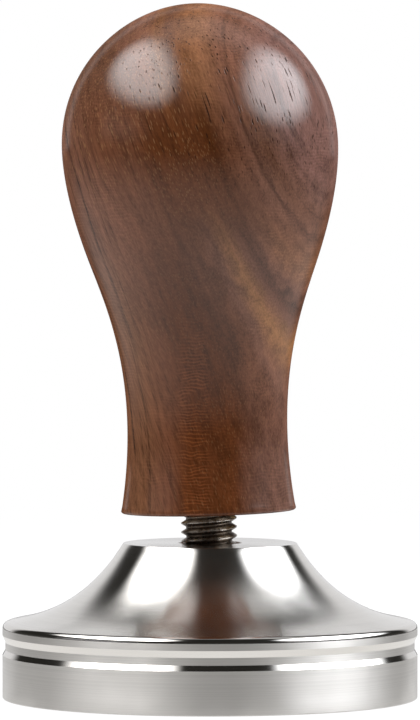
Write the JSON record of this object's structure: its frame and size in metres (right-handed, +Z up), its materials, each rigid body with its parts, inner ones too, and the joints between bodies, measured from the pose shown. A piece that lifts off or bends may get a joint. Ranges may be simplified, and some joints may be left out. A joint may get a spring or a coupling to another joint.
{
  "type": "espresso tamper",
  "caption": "Espresso tamper: flat steel base with a flared neck and ring groove, and a pear-shaped wooden handle that screws onto a threaded stud.",
  "frame": {"origin": "centre of the flat tamping face, on the underside of the base", "axes": "+Z up along the base's axis; the partly unscrewed handle leans 1.42 degrees towards -X at rest; -Y is the front"},
  "size_m": [0.058, 0.058, 0.0969],
  "materials": {
    "polished_steel": "mirror-polished flare and chamfers, fine turned lines on the rim and the skirt",
    "stud_steel": "plain rolled thread, slightly dull",
    "brass": "machined",
    "adhesive": "cured epoxy",
    "walnut": "satin lacquer over walnut"
  },
  "bodies": {
    "base": {"base": "polished_steel"},
    "stud": {"stud": "stud_steel"},
    "handle_lift": {"adhesive_sleeve": "adhesive"},
    "handle": {"handle": "walnut", "threaded_insert": "brass"}
  },
  "joints": [
    {"name": "stud_rock", "type": "hinge", "parent": "base", "child": "stud", "pos_m": [0, 0, 0.0181], "axis": [0, 1, 0], "range_deg": [0, 2.84]},
    {"name": "handle_travel", "type": "slide", "parent": "stud", "child": "handle_lift", "axis": [-0.0248, 0, 0.9997], "range_m": [-0.00406, 0.0125]},
    {"name": "handle_turn", "type": "hinge", "parent": "handle_lift", "child": "handle", "pos_m": [0, 0, 0.0181], "axis": [-0.0248, 0, 0.9997], "range_deg": [-1170, 3600]}
  ],
  "couplings": [
    {"joint": "handle_travel", "follows": "handle_turn", "m_per_rad": 0.00019894}
  ]
}
